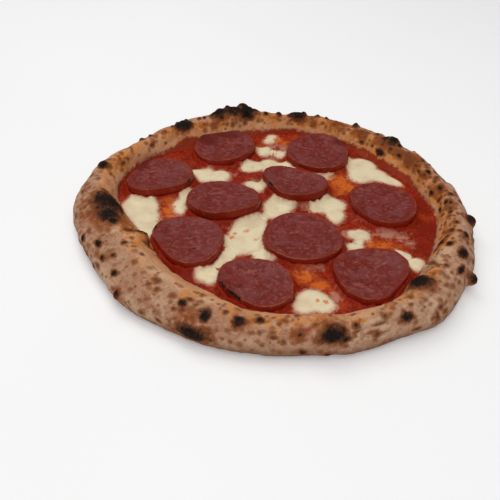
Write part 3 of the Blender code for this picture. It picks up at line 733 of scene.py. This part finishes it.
def lobed_outline(lobes):
    """Middle of a pool and its edge's distance in each direction."""
    lobes = np.array(lobes, dtype=float)
    middle = np.average(lobes[:, :2], axis=0, weights=lobes[:, 2] ** 2)
    angle = circle(POOL_TURNS)
    reach = np.zeros(POOL_TURNS)
    for x, y, radius in lobes:
        turn, gap = seen_from(middle, x, y)
        inside = radius ** 2 - (gap * np.sin(angle - turn)) ** 2
        edge = gap * np.cos(angle - turn) + np.sqrt(np.maximum(inside, 0))
        reach = np.maximum(reach, np.where(inside > 0, edge, 0))
    for _ in range(POOL_SMOOTHING):
        reach = (np.roll(reach, 1) + 2 * reach + np.roll(reach, -1)) / 4
    return middle, inside_rim(middle, angle, reach, POOL_TOP, POOL_RIM_CLEARANCE)


def smooth_outlines():
    """All pools' outlines; a later pool stops short of the earlier ones."""
    outlines = []
    for lobes in POOLS:
        middle, reach = lobed_outline(lobes)
        for earlier in outlines:
            for _ in range(TRIM_ROUNDS):
                clear = past_edges([earlier], *polar(middle, circle(POOL_TURNS), reach))
                reach = np.where(clear < POOL_CLEARANCE, reach - TRIM_STEP, reach)
        outlines.append((middle, reach))
    return outlines


def all_but(outlines, number):
    return outlines[:number] + outlines[number + 1:]


def ragged_outline(number, outlines):
    """The pool's edge as it ran: tongues and small nicks, closed up to a near pool."""
    middle, reach = outlines[number]
    angle = circle(POOL_TURNS)
    x, y = polar(middle, angle, reach)
    touching = smooth_step(-past_edges(all_but(outlines, number), x, y), -3.4, -1.6)
    nicks = lumps(at(x, y), (1.0, 11, 20 + number, 2), (0.3, 3.6, 50 + number))
    nicks = np.clip(nicks, -2.0, 1.6) * smooth_step(reach, 2.0, 8.0)
    reach = reach + nicks * (1 - touching) + 0.8 + 0.5 * touching
    return middle, inside_rim(middle, angle, reach, POOL_TOP, POOL_RIM_CLEARANCE)


SMOOTH_OUTLINES = smooth_outlines()
OUTLINES = [ragged_outline(number, SMOOTH_OUTLINES) for number in range(len(POOLS))]


def make_pool(number, made):
    """A melted pool: soft domed top, its thin edge sunk into the sauce."""
    middle, reach = OUTLINES[number]
    share = np.append(1, np.linspace(1, 1 / POOL_RINGS, POOL_RINGS))[:, None]
    x, y = polar(middle, circle(POOL_TURNS), share * reach)
    beside = past_edges(all_but(OUTLINES, number), x, y)
    distance = reach * (1 - share) + POOL_DEEP * smooth_step(-beside, -3.0, -1.0)
    wave = lumps(at(x, y), (0.3, 10, 5), (0.12, 3, 6))
    rise = 1 - np.exp(-distance / POOL_ROUNDING)
    top = SAUCE_TOP - 0.1 + (CHEESE_THICKNESS - 0.1 + wave) * rise
    top = heap_up(x, y, np.minimum(top, POOL_TOP))
    top[0] = POOL_BOTTOM
    add_rings(f"melted_cheese_{number + 1:02d}", at(x, y, top), middle, made,
              {"depth": np.clip(distance / POOL_DEEP, 0, 1), "grease_shade": grease_and_shade_fringe(x, y),
               "oil": round_spots(x, y, OIL_SPOTS)}, f"mozzarella_{number + 1:02d}")


# ---- the sauce

SAUCE_TURNS = 620
SAUCE_RINGS = 140
SAUCE_BOTTOM = SAUCE_FLOOR - 0.2
MILK_RUN = 2.6


def make_sauce(made):
    angle = circle(SAUCE_TURNS)
    outer = slope_radius(angle, SAUCE_TOP + 1.2) + 1.0
    share = np.append(1, np.linspace(1, 1 / SAUCE_RINGS, SAUCE_RINGS) ** 0.9)[:, None]
    x, y = polar((0, 0), angle, share * outer)
    top = SAUCE_TOP + 0.1 + lumps(at(x, y), (0.3, 12, 8), (0.24, 3.6, 9), (0.1, 1.5, 10))
    top = heap_up(x, y, top)
    top[0] = SAUCE_BOTTOM
    near = np.maximum(0, past_edges(OUTLINES, x, y))
    sway = 1 + lumps(at(x, y), (0.35, 6, 11))
    milk = np.maximum(0.62 * np.exp(-near / MILK_RUN), round_spots(x, y, MILK_SPOTS, sway))
    add_rings("sauce_layer", at(x, y, top), (0, 0), made,
              {"milk": milk, "oil": round_spots(x, y, OIL_SPOTS, sway), "grease_shade": grease_and_shade_fringe(x, y),
               "dark": round_spots(x, y, DARK_SPOTS, sway)}, "tomato_sauce")


# ---- the salami

SLICE_TURNS = 180
SLICE_RINGS = 44
UNDER_RINGS = 12
SIDE_RINGS = 9
SIDE_SHARE = 0.035
PEPPER_SIDES = 8
PEPPER_RINGS = 4


def streak_field(x, y, streaks):
    """Marks on the slices' faces, 1 in their middles."""
    field = np.zeros_like(x)
    for *middle, length, width, turn in streaks:
        angle, away = seen_from(middle, x, y)
        angle = angle - math.radians(turn)
        reach = np.hypot(away * np.cos(angle) / length, away * np.sin(angle) / width)
        field = np.maximum(field, np.clip(1.5 - reach, 0, 1))
    return field


def burn_field(number, turn, share, rise):
    """Charred bits on the upper part of a slice's edge, at directions in degrees."""
    burn = np.zeros_like(turn)
    for sliced, first, last in BURNT_EDGES:
        if sliced == number:
            inside = smooth_step(turn, first, first + BURN_FADE)
            inside = inside * smooth_step(-turn, -last, BURN_FADE - last)
            burn = np.maximum(burn, inside * smooth_step(share, 0.88, 0.955)
                              * smooth_step(rise, 0.45, 0.8))
    return burn


def make_slice(number, place, edge, floor, made):
    """A slice, ring by ring: its underside, its rounded side, and its top from the edge in."""
    angle = circle(SLICE_TURNS)
    bend = math.pi * (np.arange(1, SIDE_RINGS + 1) / (SIDE_RINGS + 1) - 0.5)
    tuck = SIDE_SHARE * (1 - np.cos(bend)) * np.where(bend < 0, 1.0, 0.9)
    share = np.concatenate([np.linspace(0.08, 0.93, UNDER_RINGS), 1 - tuck,
                            np.linspace(1 - SIDE_SHARE, 0.02, SLICE_RINGS)])[:, None]
    rise = np.concatenate([np.zeros(UNDER_RINGS), 0.5 + 0.5 * np.sin(bend), np.ones(SLICE_RINGS)])
    rise = rise[:, None]
    side = np.concatenate(
        [np.ones(UNDER_RINGS), np.where(bend < 1, 1.0, 0.5), np.zeros(SLICE_RINGS)])
    lift = slice_lift(place, edge, angle, share)
    low = UNDER_LIFT * lift
    height = floor + low + rise * (lift + SALAMI_THICKNESS - low)
    x, y = polar(place, angle, share * edge_at(edge, angle))
    points = at(x, y, height)
    top = points[-SLICE_RINGS:]
    pucker = lumps(top, (0.3, 9, 29 + number), (0.16, 3.5, 30), (0.07, 1.4, 31, 2))
    top[..., 2] += pucker * smooth_step(1 - share[-SLICE_RINGS:], 0.0, 0.1)
    turn = np.broadcast_to(np.degrees(angle), points.shape[:2])
    add_rings(f"salami_slice_{number:02d}", points, place[:2], made,
              {"share": share, "side": side[:, None], "rise": rise,
               "fat": streak_field(x, y, FAT_STREAKS), "rim_shade": streak_field(x, y, RIM_SHADE_PATCHES),
               "burn": burn_field(number, turn, share, rise)}, f"salami_{number:02d}")
    return top.reshape(-1, 3)


def make_pepper(faces_of_slices, made):
    """Small broken peppercorns, half sunk in the slices that they lie on."""
    draw = random.Random(SEED + 4)
    surface = np.concatenate(faces_of_slices)
    points, faces = [], []
    for x, y, half in PEPPER:
        gap = np.hypot(surface[:, 0] - x, surface[:, 1] - y)
        z = surface[gap.argmin(), 2] + 0.15 * half
        faces += [tuple(len(points) + i for i in face)
                  for face in ring_faces(PEPPER_RINGS - 1, PEPPER_SIDES)]
        for up in math.pi * np.arange(1, PEPPER_RINGS) / PEPPER_RINGS:
            for turn in circle(PEPPER_SIDES):
                size = half * draw.uniform(0.75, 1.15)
                out = size * math.sin(up)
                points.append((x + out * math.cos(turn), y + 0.8 * out * math.sin(turn),
                               z - 0.6 * size * math.cos(up)))
        points += [(x, y, z - 0.6 * half), (x, y, z + 0.6 * half)]
    piece = add_object("pepper_specks", np.array(points), faces, made, {})
    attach(piece, "root")


# ---- materials

class Nodes:
    """A tree of shader nodes, with short ways to add to it."""

    def __init__(self, tree):
        self.tree = tree

    def join(self, source, socket):
        """Sets a socket from another socket, a number or a colour."""
        if isinstance(source, bpy.types.NodeSocket):
            self.tree.links.new(source, socket)
        elif isinstance(source, (int, float)):
            socket.default_value = source
        else:
            socket.default_value = (*source, 1.0)

    def add(self, kind, inputs, **settings):
        """Outputs of a new node, with its settings and with its inputs joined."""
        node = self.tree.nodes.new(kind)
        for key, value in settings.items():
            setattr(node, key, value)
        for key, source in inputs.items():
            self.join(source, node.inputs[key])
        return node.outputs

    def maths(self, operation, first, second):
        return self.add("ShaderNodeMath", {0: first, 1: second}, operation=operation)[0]

    def spread(self, value, low, high, to_low=0.0, to_high=1.0):
        """A value eased from one number, at low, to another, at high."""
        return self.add("ShaderNodeMapRange", {
            "Value": value, "From Min": low, "From Max": high, "To Min": to_low,
            "To Max": to_high}, interpolation_type="SMOOTHSTEP")["Result"]


def new_effect(name, labels, build):
    """A node group that puts out one mask, built by a function from its inputs."""
    tree = bpy.data.node_groups.new(name, "ShaderNodeTree")
    tree.interface.new_socket("Vector", in_out="INPUT", socket_type="NodeSocketVector")
    for label in labels:
        tree.interface.new_socket(label, in_out="INPUT", socket_type="NodeSocketFloat")
    tree.interface.new_socket("Mask", in_out="OUTPUT", socket_type="NodeSocketFloat")
    mask = build(Nodes(tree), tree.nodes.new("NodeGroupInput").outputs)
    tree.links.new(mask, tree.nodes.new("NodeGroupOutput").inputs["Mask"])
    return tree


def ragged_edge(n, given):
    """A softly painted value turned into a mask with an uneven, baked edge."""
    texture = n.add("ShaderNodeTexNoise", {
        "Vector": given["Vector"], "Scale": given["Scale"], "Detail": 4.0, "Roughness": 0.6})
    sway = n.maths("MULTIPLY", n.maths("SUBTRACT", texture["Fac"], 0.5), given["Unevenness"])
    low, high = (n.maths(way, given["Threshold"], given["Softness"])
                 for way in ("SUBTRACT", "ADD"))
    return n.spread(n.maths("ADD", given["Value"], sway), low, high)


def scattered_specks(n, given):
    """Scattered round specks, in a chosen share of a cell pattern's cells."""
    cells = n.add("ShaderNodeTexVoronoi", {"Vector": given["Vector"], "Scale": given["Scale"]})
    parts = n.add("ShaderNodeSeparateColor", {0: cells["Color"]})
    chosen = n.maths("LESS_THAN", parts[0], given["Amount"])
    reach = n.maths("MULTIPLY", parts[1], given["Size"])
    inside = n.spread(cells["Distance"], n.maths("MULTIPLY", reach, 0.35), reach, 1.0, 0.0)
    return n.maths("MULTIPLY", inside, chosen)


RAGGED_EDGE = new_effect("ragged_edge", ("Value", "Scale", "Unevenness", "Threshold", "Softness"),
                         ragged_edge)
SCATTERED_SPECKS = new_effect("scattered_specks", ("Scale", "Amount", "Size"), scattered_specks)


class Recipe(Nodes):
    """A material built up in coats of colour, each laid over what is there."""

    def __init__(self, name, first, roughness, shine):
        self.made = bpy.data.materials.new(name)
        self.made.use_nodes = True
        super().__init__(self.made.node_tree)
        self.shader = self.tree.nodes["Principled BSDF"].inputs
        self.shader["Roughness"].default_value = roughness
        self.shader["Specular IOR Level"].default_value = shine
        self.where = self.add("ShaderNodeTexCoord", {})["Object"]
        self.paint = first

    def painted(self, label):
        return self.add("ShaderNodeAttribute", {}, attribute_name=label)["Fac"]

    def noise(self, size, detail=3.0, roughness=0.55):
        return self.add("ShaderNodeTexNoise", {"Vector": self.where, "Scale": 1 / (size * MM),
                                               "Detail": detail, "Roughness": roughness})["Fac"]

    def effect(self, group, size, **inputs):
        inputs.update(Vector=self.where, Scale=1 / (size * MM))
        return self.add("ShaderNodeGroup", inputs, node_tree=group)[0]

    def ragged(self, label, size, unevenness, threshold, softness):
        """A painted value as a mask with an uneven edge."""
        return self.effect(RAGGED_EDGE, size, Value=self.painted(label), Unevenness=unevenness,
                           Threshold=threshold, Softness=softness)

    def mix(self, mask, first, second):
        return self.add("ShaderNodeMix", {0: mask, 6: first, 7: second}, data_type="RGBA")[2]

    def coat(self, tint, amount, mask):
        """Lays a colour on where the mask is 1."""
        if amount != 1:
            mask = self.maths("MULTIPLY", mask, amount)
        self.paint = self.mix(mask, self.paint, tint)

    def clouds(self, tint, amount, size, low, high, *detail):
        """Lays a colour on where noise with lumps of that size is high."""
        self.coat(tint, amount, self.spread(self.noise(size, *detail), low, high))

    def stains(self, tint, amount, *edge):
        """Lays a colour on where it is painted, with an uneven edge."""
        self.coat(tint, amount, self.ragged(*edge))

    def specks(self, tint, amount, size, share, reach):
        """Lays a colour on in specks, in that share of cells of that size."""
        self.coat(tint, amount, self.effect(SCATTERED_SPECKS, size, Amount=share, Size=reach))

    def fringe(self, tint, *edge):
        """Lays a colour on where nothing is painted, as along a pool's edge."""
        self.paint = self.mix(self.ragged(*edge), tint, self.paint)

    def finish(self, height=None, distance=0.0, strength=1.0):
        """The material, with its coats and a relief that deep in millimetres."""
        self.join(self.paint, self.shader["Base Color"])
        if height is not None:
            relief = self.add("ShaderNodeBump", {
                "Strength": strength, "Distance": distance * MM, "Height": height})
            self.join(relief["Normal"], self.shader["Normal"])
        return self.made


PALE_DOUGH = (0.475, 0.258, 0.158)
PINK_DOUGH = (0.53, 0.305, 0.198)
CROWN_TONE_AND_LIGHT = (0.7, 0.33, 0.155)
TAN_DOUGH = (0.36, 0.16, 0.078)
DUSKY_DOUGH = (0.27, 0.115, 0.06)
TOASTED_DOUGH = (0.235, 0.072, 0.022)
GOLDEN_DOUGH = (0.66, 0.255, 0.068)
AMBER_DOUGH = (0.29, 0.057, 0.01)
BROWN_DOUGH = (0.135, 0.043, 0.016)
SINGED_DOUGH = (0.075, 0.03, 0.016)
CHAR = (0.013, 0.009, 0.007)
FLOUR = (0.66, 0.435, 0.28)
LOWER_SIDE_SHADE = (0.16, 0.073, 0.04)
BAKED_SAUCE = (0.3, 0.024, 0.006)
SAUCE_RED = (0.3, 0.016, 0.004)
SAUCE_DARK = (0.2, 0.01, 0.003)
SAUCE_BRIGHT = (0.42, 0.06, 0.012)
OIL_ORANGE = (0.7, 0.15, 0.018)
CHEESE_CREAM = (0.86, 0.735, 0.48)
CHEESE_WARM = (0.67, 0.495, 0.315)
CHEESE_PINK = (0.56, 0.27, 0.18)
MEAT = (0.2, 0.024, 0.019)
MEAT_DARK = (0.165, 0.015, 0.01)
MEAT_PALE = (0.285, 0.078, 0.06)
MEAT_VIOLET = (0.207, 0.048, 0.046)
FAT = (0.42, 0.17, 0.12)
DARK_RED_AND_SHADE = (0.12, 0.01, 0.006)
CASING = (0.42, 0.13, 0.05)
SLICE_SIDE_RED = (0.23, 0.022, 0.01)
GREASE_AND_SHADE_RED = (0.285, 0.016, 0.005)
GLINT = (0.6, 0.33, 0.25)
PEPPER_BLACK = (0.012, 0.01, 0.008)
PEPPER_BROWN = (0.05, 0.035, 0.02)


def dough_material():
    r = Recipe("baked_dough", PALE_DOUGH, 0.75, 0.06)
    r.coat(PINK_DOUGH, 1, r.painted("blush"))
    r.clouds(FLOUR, 0.45, 7, 0.48, 0.62, 4, 0.6)
    r.clouds(TAN_DOUGH, 0.5, 15, 0.46, 0.64)
    r.clouds(TAN_DOUGH, 0.7, 4.2, 0.5, 0.64)
    r.clouds(FLOUR, 0.35, 1.5, 0.5, 0.62, 4)
    r.clouds(AMBER_DOUGH, 0.3, 1.9, 0.52, 0.7, 4, 0.7)
    r.clouds(DUSKY_DOUGH, 0.3, 3, 0.54, 0.66, 4, 0.65)
    # Partly the dough's own paler tone, partly painted light on the inner slope.
    r.stains(CROWN_TONE_AND_LIGHT, 0.78, "crown", 6, 0.9, 0.46, 0.42)
    r.clouds(TAN_DOUGH, 0.4, 2.2, 0.54, 0.66, 4, 0.65)
    # Painted shade: the rim's lower outer side darker towards its foot.
    r.coat(LOWER_SIDE_SHADE, 0.92, r.painted("low"))
    r.stains(FLOUR, 0.7, "flour", 3, 0.9, 0.42, 0.3)
    r.stains(GOLDEN_DOUGH, 0.9, "golden", 5, 2.0, 0.5, 0.32)
    r.stains(AMBER_DOUGH, 0.5, "golden", 2.4, 1.8, 0.86, 0.22)
    r.stains(AMBER_DOUGH, 0.9, "brown", 3.6, 1.2, 0.4, 0.32)
    r.stains(BROWN_DOUGH, 0.7, "brown", 2.2, 1.2, 0.7, 0.22)
    r.specks(TOASTED_DOUGH, 0.7, 3.2, 0.25, 0.36)
    # Painted shade in the grooves of the creases.
    r.coat(BROWN_DOUGH, 0.8, r.spread(r.painted("groove"), 0.15, 0.8))
    r.stains(BROWN_DOUGH, 0.8, "under", 16, 2.4, 1.22, 0.25)
    depth = r.spread(r.painted("char"), 0.1, 0.45, 0.5, 1.0)
    r.coat(TOASTED_DOUGH, 0.9, r.maths("MULTIPLY", r.ragged("spot", 2, 0.45, 0.36, 0.22), depth))
    r.stains(SINGED_DOUGH, 0.9, "char", 1.6, 0.5, 0.5, 0.13)
    black = r.ragged("char", 1.6, 0.6, 0.64, 0.11)
    r.coat(CHAR, 1, black)
    r.coat(SINGED_DOUGH, 0.55, r.maths("MULTIPLY", black, r.spread(r.noise(1.3), 0.54, 0.66)))
    r.stains(BAKED_SAUCE, 0.92, "stain", 4, 2.2, 0.5, 0.4)
    crazed = r.maths("MULTIPLY", black, r.noise(0.9))
    return r.finish(r.maths("ADD", r.noise(1.2, 4), crazed), 0.55, 0.8)


def sauce_material():
    r = Recipe("tomato_sauce", SAUCE_DARK, 0.38, 0.08)
    r.clouds(SAUCE_RED, 1, 9, 0.36, 0.56, 4)
    r.clouds(SAUCE_BRIGHT, 0.8, 1.8, 0.5, 0.68, 4)
    r.clouds(SAUCE_BRIGHT, 0.6, 5, 0.56, 0.68, 4, 0.65)
    r.stains(SAUCE_DARK, 0.8, "dark", 5, 0.9, 0.5, 0.3)
    r.stains(SAUCE_BRIGHT, 0.9, "oil", 4, 1.2, 0.44, 0.26)
    r.stains(OIL_ORANGE, 0.85, "oil", 2.6, 1.9, 0.72, 0.26)
    r.stains(CHEESE_PINK, 0.75, "milk", 2.6, 1.0, 0.52, 0.22)
    # Dark red grease and painted shade beside the slices' edges.
    r.stains(GREASE_AND_SHADE_RED, 0.9, "grease_shade", 3, 0.5, 0.5, 0.3)
    return r.finish(r.maths("ADD", r.noise(1.8, 4), r.noise(0.8, 2)), 0.45, 0.6)


def cheese_material():
    r = Recipe("melted_mozzarella", CHEESE_CREAM, 0.4, 0.2)
    r.clouds(CHEESE_WARM, 0.5, 10, 0.4, 0.7)
    r.fringe(CHEESE_WARM, "depth", 6, 0.6, 0.44, 0.36)
    r.fringe(CHEESE_PINK, "depth", 3, 0.8, 0.22, 0.16)
    r.fringe(SAUCE_BRIGHT, "depth", 2.4, 0.9, 0.07, 0.09)
    r.stains(OIL_ORANGE, 0.8, "oil", 1.6, 1.4, 0.7, 0.22)
    # Beside the slices' edges the cheese turns pink, then dark red: grease and painted shade.
    r.stains(CHEESE_PINK, 0.9, "grease_shade", 2.4, 0.6, 0.6, 0.26)
    r.stains(GREASE_AND_SHADE_RED, 0.9, "grease_shade", 2.4, 0.8, 0.78, 0.2)
    return r.finish(r.noise(4, 2), 0.4, 0.4)


def salami_material():
    r = Recipe("salami", MEAT_DARK, 0.36, 0.14)
    fine = r.noise(1, 2, 0.6)
    share = r.painted("share")
    r.clouds(MEAT, 1, 4.5, 0.4, 0.58, 4, 0.6)
    r.clouds(MEAT_VIOLET, 0.8, 11, 0.46, 0.62)
    r.clouds(MEAT_PALE, 0.7, 3, 0.5, 0.64, 3, 0.6)
    r.clouds(MEAT_DARK, 0.45, 1.8, 0.56, 0.66, 3, 0.7)
    r.clouds(DARK_RED_AND_SHADE, 0.45, 8, 0.54, 0.68, 3, 0.6)
    r.coat(FAT, 0.28, r.spread(fine, 0.6, 0.72))
    r.specks(FAT, 0.55, 6, 0.3, 0.2)
    r.specks(GLINT, 0.9, 2.4, 0.07, 0.28)
    r.stains(FAT, 0.35, "fat", 2.2, 1.4, 0.85, 0.4)
    r.coat(SLICE_SIDE_RED, 0.65, r.spread(share, 0.84, 0.95))
    broken = r.maths("MULTIPLY", r.spread(r.noise(16, 2), 0.44, 0.56),
                     r.spread(r.noise(3), 0.4, 0.56))
    r.coat(CASING, 0.5, r.maths("MULTIPLY", r.spread(share, 0.948, 0.962), broken))
    # Painted shade on the slices' edges beside the rim.
    r.stains(DARK_RED_AND_SHADE, 0.9, "rim_shade", 4, 0.6, 0.45, 0.4)
    flank = r.mix(r.spread(r.painted("rise"), 0.3, 0.9), GREASE_AND_SHADE_RED, SLICE_SIDE_RED)
    streaks = r.spread(r.noise(2.5, 4, 0.65), 0.52, 0.66)
    flank = r.mix(r.maths("MULTIPLY", streaks, 0.25), flank, CASING)
    r.coat(flank, 1, r.spread(r.painted("side"), 0.55, 0.9))
    r.stains(CHAR, 1, "burn", 4, 3.4, 0.88, 0.12)
    r.join(r.spread(fine, 0.35, 0.65, 0.5, 0.26), r.shader["Roughness"])
    return r.finish(r.maths("ADD", r.noise(3, 3, 0.6), fine), 0.35, 0.6)


def pepper_material():
    r = Recipe("peppercorn", PEPPER_BLACK, 0.6, 0.3)
    r.coat(PEPPER_BROWN, 1, r.noise(0.5))
    return r.finish()


# ---- floor, light, camera

WHITE = (1.0, 1.0, 1.0, 1.0)
FLOOR_COLOUR = (0.88, 0.88, 0.88)
FLOOR_SHADE = (0.854, 0.854, 0.854)
FLOOR_GLOW = 0.2
FLOOR_HALF = 3000.0
FLOOR_LOW = -0.4
LENS = 54.0
SENSOR_WIDTH = 36.0
CAMERA_DISTANCE = 525.0
CAMERA_HEIGHT_ANGLE = 38.7
CAMERA_ROLL = 0.73
CAMERA_AIM = (-15.2, -34.1, 0.0)
WORLD_STRENGTH = 0.22
# Name, place in metres, size in metres, power in watts.
LIGHTS = (
    ("softbox_behind", (-0.4, 0.5, 1.1), 0.9, 4.6),
    ("softbox_above", (0.05, -0.25, 1.5), 1.4, 6.6),
    ("fill_in_front", (-0.05, -0.95, 1.1), 1.0, 5.0),
)


def make_floor():
    r = Recipe("pale_floor", FLOOR_COLOUR, 0.9, 0.1)
    r.clouds(FLOOR_SHADE, 1, 400, 0.3, 0.7)
    r.shader["Emission Color"].default_value = WHITE
    r.shader["Emission Strength"].default_value = FLOOR_GLOW
    corners = [(side * FLOOR_HALF, end * FLOOR_HALF, FLOOR_LOW)
               for side, end in ((-1, -1), (1, -1), (1, 1), (-1, 1))]
    add_object("floor", np.array(corners), [(0, 1, 2, 3)], r.finish(), {})


def make_light():
    scene = bpy.context.scene
    scene.world = bpy.data.worlds.new("studio")
    scene.world.use_nodes = True
    back = scene.world.node_tree.nodes["Background"].inputs
    back["Color"].default_value = WHITE
    back["Strength"].default_value = WORLD_STRENGTH
    for name, place, size, power in LIGHTS:
        data = bpy.data.lights.new(name, "AREA")
        data.shape = "DISK"
        data.size = size
        data.energy = power
        lamp = link(name, data)
        lamp.location = place
        lamp.rotation_euler = Vector(place).to_track_quat("Z", "Y").to_euler()
    scene.view_settings.view_transform = "Standard"
    scene.view_settings.look = "None"


def make_camera():
    data = bpy.data.cameras.new("camera")
    data.lens = LENS
    data.sensor_width = SENSOR_WIDTH
    rise = math.radians(CAMERA_HEIGHT_ANGLE)
    back = Vector((0.0, -math.cos(rise), math.sin(rise)))
    turn = back.to_track_quat("Z", "Y").to_matrix()
    camera = link("camera", data)
    camera.matrix_world = (Matrix.Translation((Vector(CAMERA_AIM) + CAMERA_DISTANCE * back) * MM)
                           @ (turn @ Matrix.Rotation(math.radians(CAMERA_ROLL), 3, "Z")).to_4x4())
    bpy.context.scene.camera = camera


# ---- the pizza

make_dough(dough_material())
make_sauce(sauce_material())
cheese = cheese_material()
for number in range(len(POOLS)):
    make_pool(number, cheese)
salami = salami_material()
slice_tops = [make_slice(number, place, edge, floor, salami) for number, (place, edge, floor)
              in enumerate(zip(SLICES, SLICE_EDGES, SLICE_FLOORS), start=1)]
make_pepper(slice_tops, pepper_material())
make_floor()
make_light()
make_camera()
